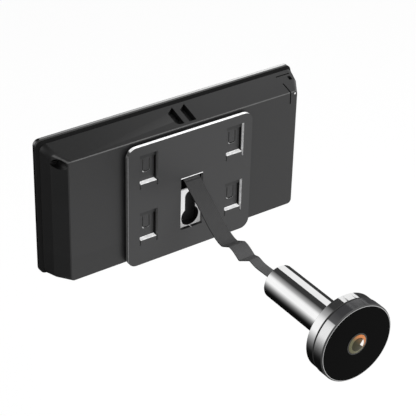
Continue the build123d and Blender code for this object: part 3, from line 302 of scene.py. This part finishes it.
def bezel_chrome():
    """Chrome of the bezel, with painted reflections: a fine bright rim round its glass, a dark front, and a
    darker upper right side that glows faintly blue.
    """
    material, paint = new_material("bezel_chrome")
    across, _, rise = paint.place()
    _, face, _ = paint.facing()
    radius = from_axis(across, rise)
    cloud = paint.noise(140.0, 3.0)
    lines = paint.noise(300.0, 3.0, 0.6, (1, 40, 1))
    # Painted bright reflection on the rim, and painted dark reflection on the rest of its front
    corner = (-face).rise(0.4, 0.6)
    rim = corner * (1 - radius.rise(bezel_rim_radius, bezel_rim_radius + 0.1 * mm))
    dark_front_reflection = corner - rim
    colour = paint.mix(cloud, grey(0.76), grey(0.84))
    # Painted dark reflection on a sector of its side
    turned = rise.maths("ARCTAN2", across) * (180 / math.pi)
    upper = turned.within(*bezel_reflection_dark_sector, 0.8) * (1 - abs(face).rise(0.3, 0.5))
    colour = paint.mix(upper.maths("MAXIMUM", dark_front_reflection), colour, grey(0.1))
    paint.finish({
        "Base Color": paint.mix(rim, colour, grey(0.6)),
        "Metallic": 1.0,
        "Roughness": 0.1 + 0.02 * lines + 0.02 * cloud,
        "Normal": paint.bump(lines, 0.007 * mm),
        # The painted dark reflection glows faintly blue
        "Emission Color": paint.mix(upper * (0.6 + 0.8 * lines), grey(0.0), grey(0.04, 0.06)),
        "Emission Strength": 1.0,
    })
    return material


def housing_chrome():
    """Chrome of the housing, with painted shade on its end faces in the seam beside the bezel."""
    material, paint = new_material("housing_chrome")
    _, face, _ = paint.facing()
    cloud = paint.noise(140.0, 3.0)
    # Painted shade on the end faces
    seam = abs(face).rise(0.4, 0.6)
    colour = paint.mix(cloud, grey(0.86), grey(0.96))
    paint.finish({
        "Base Color": paint.mix(seam, colour, grey(0.05)),
        "Metallic": 1.0,
        "Roughness": 0.05 + 0.02 * cloud,
    })
    return material


# Painted light along the flat cable: shaded near the plate, lighter towards the camera
film_lit_depth = -62 * mm
film_shaded_depth = -12 * mm
rib_pitch = 0.8 * mm


def ribbon_film():
    """Flat cable: dark film over parallel wires; painted light makes it lighter towards the camera, and
    painted shade darkens its side edges.
    """
    material, paint = new_material("flat_cable_film")
    across, depth, _ = paint.place()
    side, _, _ = paint.facing()
    # Painted light: lighter towards the camera, with painted shade near the plate
    lit_share = 1 - depth.rise(film_lit_depth, film_shaded_depth)
    ribs = (across * (math.tau / rib_pitch)).maths("COSINE")
    cloud = paint.noise(240.0, 3.0)
    weave = paint.noise(2600.0, 2.0, 0.5, (3.0, 1.0, 1.0))
    colour = paint.mix(lit_share, grey(0.02, 0.04), grey(0.085, 0.02))
    colour = paint.mix(0.3 * weave, colour, grey(0.11))
    # Painted shade on the cable's side edges
    colour = paint.mix(abs(side).rise(0.6, 0.85), colour, grey(0.006))
    paint.finish({
        "Base Color": paint.mix(0.25 * cloud, colour, grey(0.02)),
        "Roughness": 0.5 + 0.12 * (cloud - 0.5),
        "Normal": paint.bump(ribs * 0.5 + weave * 0.5, 0.04 * mm),
    })
    return material


def camera_cover_glass():
    """Black cover glass, printed from behind, with hardly any glare."""
    material, paint = new_material("black_cover_glass")
    cloud = paint.noise(90.0, 2.0)
    paint.finish({
        "Base Color": paint.mix(cloud, grey(0.0018), grey(0.0026)),
        "Roughness": 0.12 + 0.05 * cloud,
        "Specular IOR Level": 0.02,
    })
    return material


lens_heart_radius = 2.5 * mm
lens_ring_radius = 2.9 * mm
lens_edge_radius = 4.1 * mm
lens_softness = 0.3 * mm
# The painted glint: where its tip lies, and how far from the lens's middle it reaches
glint_tip = 0.45 * mm
glint_radius = 2.75 * mm


def lens_coating():
    """Coated lens: painted reflections make it amber towards the upper right and olive towards the lower
    left, with a glowing painted glint.
    """
    material, paint = new_material("coated_lens")
    across, _, rise = paint.place()
    radius = from_axis(across, rise)
    # Painted reflection: amber towards the upper right, olive towards the lower left
    amber = (across * 0.75 + rise * 0.66).rise(-0.6 * mm, 3.6 * mm)
    rim = paint.mix(amber, (0.16, 0.155, 0.085, 1), (0.72, 0.24, 0.07, 1))
    heart = paint.mix(amber, (0.03, 0.028, 0.01, 1), (0.2, 0.1, 0.035, 1))
    colour = paint.mix(radius.rise(lens_heart_radius, lens_ring_radius), heart, (0.02, 0.018, 0.008, 1))
    colour = paint.mix(radius.rise(lens_ring_radius, lens_ring_radius + lens_softness), colour, rim)
    edge = radius.rise(lens_edge_radius, lens_edge_radius + lens_softness)
    colour = paint.mix(edge, colour, (0.05, 0.045, 0.03, 1))
    cloud = paint.noise(500.0, 2.0)
    # Painted glint: a window's reflection that glows
    painted_glint = (across - abs(rise)).rise(glint_tip, glint_tip + 0.4 * mm)
    painted_glint = painted_glint * (1 - radius.rise(glint_radius, glint_radius + lens_softness))
    paint.finish({
        "Base Color": paint.mix(0.25 * cloud, colour, (0.09, 0.07, 0.03, 1)),
        "Roughness": 0.05 + 0.02 * cloud,
        "Specular IOR Level": 0.22,
        "Emission Color": paint.mix(painted_glint, grey(0.0), grey(0.85)),
        "Emission Strength": 1.0,
    })
    return material


display_border = 3 * mm


def screen_glass():
    """Dark front glass: black printed border round the display, which is switched off."""
    material, paint = new_material("screen_front_glass")
    across, _, rise = paint.place()
    low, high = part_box("display_panel")
    inside = across.within(low.x + display_border, high.x - display_border, 0.06 * mm)
    inside = inside * rise.within(low.z + display_border, high.z - display_border, 0.06 * mm)
    cloud = paint.noise(40.0, 2.0)
    colour = paint.mix(inside, grey(0.004), (0.012, 0.013, 0.017, 1))
    paint.finish({
        "Base Color": paint.mix(0.2 * cloud, colour, grey(0.008)),
        "Roughness": 0.05 + 0.03 * cloud,
        "Coat Weight": 0.6,
    })
    return material


def circuit_board(name):
    """Green board with tracks under its mask."""
    material, paint = new_material(name)
    spot = paint.make("TexCoord", output="Object")
    tracks = paint.make(
        "TexVoronoi",
        {"feature": "DISTANCE_TO_EDGE"},
        {"Vector": spot, "Scale": 420.0},
        output="Distance",
    )
    lines = 1 - tracks.rise(0.02, 0.06)
    paint.finish({
        "Base Color": paint.mix(lines, (0.012, 0.09, 0.035, 1), (0.03, 0.19, 0.07, 1)),
        "Roughness": 0.35 + 0.1 * lines,
        "Normal": paint.bump(lines, 0.03 * mm),
    })
    return material


def wrapped_cell():
    """Silver pouch of the battery, slightly creased."""
    material, paint = new_material("battery_pouch")
    folds = paint.noise(120.0, 4.0)
    paint.finish({
        "Base Color": paint.mix(folds, (0.30, 0.31, 0.33, 1), (0.44, 0.45, 0.47, 1)),
        "Metallic": 0.7,
        "Roughness": 0.35 + 0.1 * folds,
        "Normal": paint.bump(folds, 0.2 * mm),
    })
    return material


def nickel_plate():
    """Bright nickel on the keyhole plate, with a painted glow that lights it evenly."""
    material, paint = new_material("keyhole_nickel")
    cloud = paint.noise(140.0, 3.0)
    lines = paint.noise(400.0, 3.0, 0.6, (1, 60, 1))
    paint.finish({
        "Base Color": paint.mix(cloud, grey(0.62, 0.01), grey(0.7, 0.01)),
        "Metallic": 0.5 + 0.1 * cloud,
        "Roughness": 0.3 + 0.06 * lines,
        "Normal": paint.bump(lines, 0.006 * mm),
        # Painted light: the nickel glows
        "Emission Color": paint.mix(cloud, grey(0.27), grey(0.33)),
        "Emission Strength": 1.0,
    })
    return material


# Painted reflection on the rim: dark at its left end, bright at its right
rim_reflection_rise = (-90 * mm, 70 * mm)


def rim_chrome():
    """Chrome of the rim, with a painted reflection that dims towards its left end."""
    material, paint = new_material("rim_chrome")
    across, _, _ = paint.place()
    cloud = paint.noise(140.0, 3.0)
    # Painted reflection, dimmer towards the left end
    bright = across.rise(*rim_reflection_rise)
    colour = paint.mix(bright, grey(0.12), grey(0.92))
    paint.finish({
        "Base Color": paint.mix(0.2 * cloud, colour, grey(0.5)),
        "Metallic": 1.0,
        "Roughness": 0.06 + 0.02 * cloud,
    })
    return material


def frame_plastic():
    """Satin moulded frame: painted light makes its upper edge lighter, and painted shade darkens its slanted
    rear edge beside the seam.
    """
    material, paint = new_material("frame_plastic")
    _, face, top = paint.facing()
    cloud = paint.noise(60.0, 4.0)
    fine = paint.noise(5200.0, 2.0)
    # Painted shade on the slanted rear edge
    shaded_slant = (-face).rise(0.3, 0.45)
    shade = paint.mix(cloud, grey(0.01, 0.03), grey(0.014, 0.03))
    # Painted light on the upper edge
    shade = paint.mix(top.rise(0.5, 0.9), shade, grey(0.03))
    paint.finish({
        "Base Color": paint.mix(shaded_slant, shade, grey(0.001)),
        "Roughness": 0.36 + 0.6 * shaded_slant + 0.06 * (fine - 0.5),
        "Normal": paint.bump(fine, spark_grain),
    })
    return material


# Casing: where its painted shade falls, under the crease of the back face and on the top slope
crease_drop = 6.6 * mm  # below the camera's axis
crease_slope = 0.03
crease_ends = (-36 * mm, -30 * mm)
slope_shade_fades = (-70 * mm, 60 * mm)


def casing_painted_light(paint, shade):
    """The casing: painted shade under the crease of its back face and on its slopes, and a painted highlight
    on its upper ridge.
    """
    across, _, rise = paint.place()
    side, face, top = paint.facing()
    # Painted shade under the crease, towards the left end
    above_crease = (rise + crease_drop + across * crease_slope).rise(-0.3 * mm, 0.3 * mm)
    left = 1 - across.rise(*crease_ends)
    shade = paint.mix((1 - above_crease) * left * 0.25, shade, grey(0.008))
    # Painted shade on the slopes, deepest at the top slope's left end
    shaded_top_slope = top.rise(0.3, 0.9) * (0.8 * (1 - across.rise(*slope_shade_fades)))
    shaded_left_slope = (-side).rise(0.3, 0.8) * 0.5
    shade = paint.mix(shaded_top_slope.maths("MAXIMUM", shaded_left_slope), shade, grey(0.002))
    # Painted highlight on the upper ridge
    ridge = (-face).within(0.5, 0.85, 0.05) * top.within(0.5, 0.85, 0.05)
    return paint.mix(ridge, shade, grey(0.09))


materials = {
    "rear_casing": moulded_plastic("casing_plastic", 0.017, 0.4, extra=casing_painted_light),
    "port_cover": moulded_plastic("cover_plastic", 0.016, 0.4),
    "front_frame": frame_plastic(),
    "bracket_plate": plate_paint(),
    "keyhole_plate": nickel_plate(),
    "strap_pin": bright_metal("pin_steel", 0.8, 0.12),
    "chrome_rim": rim_chrome(),
    "front_glass": screen_glass(),
    "view_key": moulded_plastic("key_gloss_plastic", 0.012, 0.16, 0.003 * mm),
    "display_panel": moulded_plastic("display_off", 0.008, 0.2, 0.0),
    "display_tray": bright_metal("tray_steel", 0.5, 0.3, 0.6),
    "main_board": circuit_board("main_board_mask"),
    "sensor_board": circuit_board("sensor_board_mask"),
    "battery": wrapped_cell(),
    "camera_barrel": bright_metal("barrel_chrome", 0.93, 0.035),
    "camera_housing": housing_chrome(),
    "camera_bezel": bezel_chrome(),
    "camera_glass": camera_cover_glass(),
    "front_lens": lens_coating(),
    "lens_barrel": moulded_plastic("lens_ring_black", 0.012, 0.3, 0.004 * mm),
    "rear_lens": moulded_plastic("rear_lens_dark", 0.02, 0.08, 0.0),
    "image_sensor": moulded_plastic("sensor_chip", 0.03, 0.1, 0.0),
    "infrared_leds": moulded_plastic("led_dark_resin", 0.02, 0.12, 0.0),
    "usb_port": bright_metal("port_shell", 0.75, 0.2, 0.3),
    "card_socket": bright_metal("card_shell", 0.72, 0.24, 0.3),
}
zinc_screws = ("keyhole_screws", "board_screws", "display_screws", "sensor_screws")
dark_parts = (
    "board_chips", "speaker", "cable_socket", "view_switch",
    "lens_holder", "camera_connector", "memory_card",
)
materials.update(dict.fromkeys(zinc_screws, bright_metal("screw_zinc", 0.62, 0.24, 0.5)))
materials.update(dict.fromkeys(dark_parts, moulded_plastic("dark_moulding", 0.014, 0.45)))
materials["case_screws"] = bright_metal("screw_blackened", 0.06, 0.35, 0.5)
film = ribbon_film()
materials["ribbon_tail"] = film
for name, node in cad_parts.items():
    node.data.materials.clear()
    if name in materials:
        node.data.materials.append(materials[name])


# Edges of five rigid pieces: a fine round on each sharp edge
edge_rounds = {
    "bracket_plate": 0.12 * mm,
    "rear_casing": 0.12 * mm,
    "front_frame": 0.1 * mm,
    "port_cover": 0.1 * mm,
    "keyhole_plate": 0.06 * mm,
}
sharp_angle = math.radians(28)
weld_reach = 0.001 * mm


def round_edges(piece, width):
    """Weld the piece's split corners, and round its sharp edges."""
    weld = piece.modifiers.new("join_corners", "WELD")
    weld.merge_threshold = weld_reach
    bevel = piece.modifiers.new("edge_round", "BEVEL")
    bevel.width = width
    bevel.segments = 2
    bevel.limit_method = "ANGLE"
    bevel.angle_limit = sharp_angle
    bevel.harden_normals = True
    bevel.use_clamp_overlap = True


for name, width in edge_rounds.items():
    round_edges(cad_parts[name], width)


# Flat cable: routes of its middle line as (depth, rise) in millimetres
inner_route = [(8.6, 21.6), (6.6, 21.6), (3.0, 19.04), (0, 16.95)]
outer_route = [
    (0, 16.95), (-5.6, 13.05), (-12.65, 8.37), (-18.97, 3.44), (-23.91, 0.66), (-27.0, -0.51),
    (-28.5, -0.62), (-29.26, -0.72), (-30.2, -0.2), (-33.7, 1.52), (-34.5, 1.95), (-35.6, 1.72),
    (-37.44, 1.31), (-40.9, -0.5), (-41.82, -1.0), (-42.8, -0.52), (-46.1, 1.0), (-47.0, 1.45),
    (-48.2, 1.12), (-51.53, 0.32), (-58.8, 0.7), (-66.0, 0.7),
]
cable_width = 8.6 * mm
narrow_width = 5.4 * mm
cable_thickness = 0.5 * mm
narrowing = (-41.82 * mm, -47.0 * mm)
wire_count = 10
wire_relief = 0.03 * mm
steps_per_wire = 4
line_steps = 12


def cable_line(name, route):
    """Points along the smooth line of a route."""
    curve = bpy.data.curves.new(name, "CURVE")
    curve.dimensions = "3D"
    curve.resolution_u = line_steps
    spline = curve.splines.new("NURBS")
    spline.points.add(len(route) - 1)
    for point, (depth, rise) in zip(spline.points, route):
        point.co = (0, depth * mm, rise * mm, 1)
    spline.order_u = 3
    spline.use_endpoint_u = True
    holder = bpy.data.objects.new(name, curve)
    mesh = bpy.data.meshes.new_from_object(holder)
    points = [vertex.co.copy() for vertex in mesh.vertices]
    bpy.data.objects.remove(holder)
    bpy.data.curves.remove(curve)
    bpy.data.meshes.remove(mesh)
    return points


def half_width(depth):
    """Half the cable's width at a depth: it narrows before it enters the tube."""
    start, end = narrowing
    share = min(1.0, max(0.0, (depth - start) / (end - start)))
    return (cable_width + share * (narrow_width - cable_width)) / 2


def cable_section():
    """Outline across the cable, as (share of half the width, height), with a ridge over each wire."""
    steps = steps_per_wire * wire_count
    upper = []
    for step in range(steps + 1):
        share = -1 + 2 * step / steps
        edge = min(1.0, (1 - abs(share)) * wire_count)
        half = cable_thickness / 2 * math.sqrt(1 - (1 - edge) ** 2)
        ridge = wire_relief * (1 - math.cos(math.tau * (share + 1) / 2 * wire_count)) / 2
        upper.append((share, max(half - wire_relief, 0) + ridge))
    lower = [(share, -height) for share, height in reversed(upper[1:-1])]
    return upper + lower


def lay_cable(name, points):
    """Flat cable along points, square to its line."""
    ring = cable_section()
    mesh = bmesh.new()
    rings = []
    for number, point in enumerate(points):
        before = points[max(number - 1, 0)]
        after = points[min(number + 1, len(points) - 1)]
        along = (after - before).normalized()
        normal = Vector((1, 0, 0)).cross(along).normalized()
        if normal.z < 0:
            normal = -normal
        reach = half_width(point.y)
        rings.append([
            mesh.verts.new(point + Vector((share * reach, 0, 0)) + normal * height)
            for share, height in ring
        ])
    for first, second in zip(rings, rings[1:]):
        for number in range(len(ring)):
            following = (number + 1) % len(ring)
            mesh.faces.new((first[number], first[following], second[following], second[number]))
    mesh.faces.new(list(reversed(rings[0])))
    mesh.faces.new(rings[-1])
    bmesh.ops.recalc_face_normals(mesh, faces=mesh.faces)
    data = bpy.data.meshes.new(name)
    mesh.to_mesh(data)
    mesh.free()
    for face in data.polygons:
        face.use_smooth = len(face.vertices) == 4
    piece = bpy.data.objects.new(name, data)
    bpy.context.scene.collection.objects.link(piece)
    data.materials.append(film)
    return piece


outer_points = cable_line("outer_cable_line", outer_route)
outer_cable = lay_cable("cable_outer", outer_points)
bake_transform(outer_cable)
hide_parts("outer_ribbon")

inner_points = cable_line("inner_cable_line", inner_route)
inner_cable = lay_cable("cable_inner", inner_points)
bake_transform(inner_cable)
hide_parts("inner_ribbon")

# Floor and studio
floor_drop = 0.25
floor_size = 6.0
floor_white = 1.08  # strength at which the floor shows as white
floor_white_share = 0.7  # the rest of the floor's look is lit, and holds the shadow
world_white = 1.05
world_light = 0.55
square_corners = ((-1, -1), (1, -1), (1, 1), (-1, 1))


def add_panel(name, centre, across, along):
    """Flat panel of the studio, from its centre and its two half sides."""
    mesh = bpy.data.meshes.new(name)
    corners = [tuple(centre + x * across + y * along) for x, y in square_corners]
    mesh.from_pydata(corners, [], [(0, 1, 2, 3)])
    panel = bpy.data.objects.new(name, mesh)
    bpy.context.scene.collection.objects.link(panel)
    return panel


def seen_directly(paint):
    """1 for what the camera sees straight on."""
    return paint.make("LightPath", output="Is Camera Ray")


def mirrored(paint):
    """1 for what gloss or glass shows."""
    glossy = paint.make("LightPath", output="Is Glossy Ray")
    through = paint.make("LightPath", output="Is Transmission Ray")
    return glossy.maths("MAXIMUM", through)


def pale_floor():
    """White where it is seen straight on, apart from its shadow, and clear for what mirrors it."""
    material, paint = new_material("pale_floor")
    plain = paint.make("BsdfDiffuse", None, {"Color": grey(0.86)})
    white = paint.make("Emission", None, {"Color": grey(1.0), "Strength": floor_white})
    clear = paint.make("BsdfTransparent")
    shown = paint.make("MixShader", None, {0: seen_directly(paint) * floor_white_share, 1: plain, 2: white})
    surface = paint.make("MixShader", None, {0: mirrored(paint), 1: shown, 2: clear})
    paint.make("OutputMaterial", None, {"Surface": surface})
    return material


floor = add_panel(
    "floor",
    Vector((0, 0, -floor_drop)),
    Vector((floor_size / 2, 0, 0)),
    Vector((0, floor_size / 2, 0)),
)
floor.data.materials.append(pale_floor())

# Light tent: what bright metal mirrors, by direction. The stops go round the camera's axis, in degrees.
tent_stops = [
    (-60, 0.006), (-42, 0.03), (10, 0.04), (100, 0.04), (108, 0.18), (126, 0.45), (137, 0.85),
    (146, 1.0), (174, 1.0), (186, 0.66), (198, 0.34), (210, 0.155), (222, 0.055), (234, 0.012),
    (246, 0.004), (299, 0.004),
]
tent_start = tent_stops[0][0]


def tent_light(paint):
    """Colour of the tent: bands round the camera's axis towards the room, and a plain shade elsewhere."""
    direction = paint.make("TexCoord", output="Generated")
    right, inward, up = (paint.make("SeparateXYZ", None, {0: direction}, output=axis) for axis in range(3))
    angle = up.maths("ARCTAN2", right) * (180 / math.pi)
    turned = ((angle + (360 - tent_start)) / 360).maths("FRACT")
    stops = [((stop - tent_start) / 360, value) for stop, value in tent_stops]
    bands = paint.make("ValToRGB", {"stops": stops}, {0: turned})
    front = (0.44 + 0.31 * right - 0.6 * inward + 0.1 * up).maths("MAXIMUM", 0.08).maths("MINIMUM", 1.0)
    front_colour = paint.make("CombineColor", None, {0: front, 1: front, 2: front})
    return paint.mix(inward.rise(0.3, 0.62), front_colour, bands)


def light_world():
    """Studio world: even light, white where it is seen straight on, and the tent in mirrors."""
    world = bpy.data.worlds.new("studio")
    bpy.context.scene.world = world
    world.use_nodes = True
    paint = Paint(world.node_tree)
    lit = paint.make("Background", None, {"Color": grey(1.0), "Strength": world_light})
    seen = paint.make("Background", None, {"Color": grey(1.0), "Strength": world_white})
    shiny = paint.make("Background", None, {"Color": tent_light(paint), "Strength": 1.0})
    surface = paint.make("MixShader", None, {0: mirrored(paint), 1: lit, 2: shiny})
    surface = paint.make("MixShader", None, {0: seen_directly(paint), 1: surface, 2: seen})
    paint.make("OutputWorld", None, {"Surface": surface})


light_world()

# Soft boxes beside the camera's axis: name, first and last depth, and half the spread in degrees
box_distance = 0.25
box_angle = math.radians(42.5)
box_level = 0.9
soft_boxes = [("side_soft_box", 0.078, 0.375, 25), ("head_soft_box", 0.0665, 0.078, 11)]


def add_soft_box(name, start, end, spread):
    """White panel that faces the camera's axis, and that only bright surfaces mirror."""
    outward = Vector((math.cos(box_angle), 0, math.sin(box_angle)))
    inward = Vector((0, 1, 0))
    reach = box_distance * math.tan(math.radians(spread))
    panel = add_panel(
        name,
        box_distance * outward + inward * (start + end) / 2,
        inward.cross(outward) * reach,
        inward * (end - start) / 2,
    )
    material, paint = new_material(name)
    light = paint.make("Emission", None, {"Color": grey(1.0), "Strength": box_level})
    paint.make("OutputMaterial", None, {"Surface": light})
    panel.data.materials.append(material)
    panel.visible_camera = False
    panel.visible_diffuse = False
    panel.visible_shadow = False
    panel.visible_transmission = False


for soft_box in soft_boxes:
    add_soft_box(*soft_box)


def add_lamp(name, place, aim, size, power):
    """Square soft lamp aimed at a point. Nothing mirrors it."""
    data = bpy.data.lights.new(name, "AREA")
    data.shape = "SQUARE"
    data.size = size
    data.energy = power
    light = bpy.data.objects.new(name, data)
    light.location = place
    light.rotation_mode = "QUATERNION"
    light.rotation_quaternion = (Vector(aim) - Vector(place)).to_track_quat("-Z", "Y")
    light.visible_glossy = False
    bpy.context.scene.collection.objects.link(light)


add_lamp("key_lamp", (0.5, -0.9, 0.9), (0, -0.04, 0), size=0.8, power=9.0)
add_lamp("top_lamp", (0.1, 0.3, 1.3), (0, 0, 0), size=1.0, power=6.0)
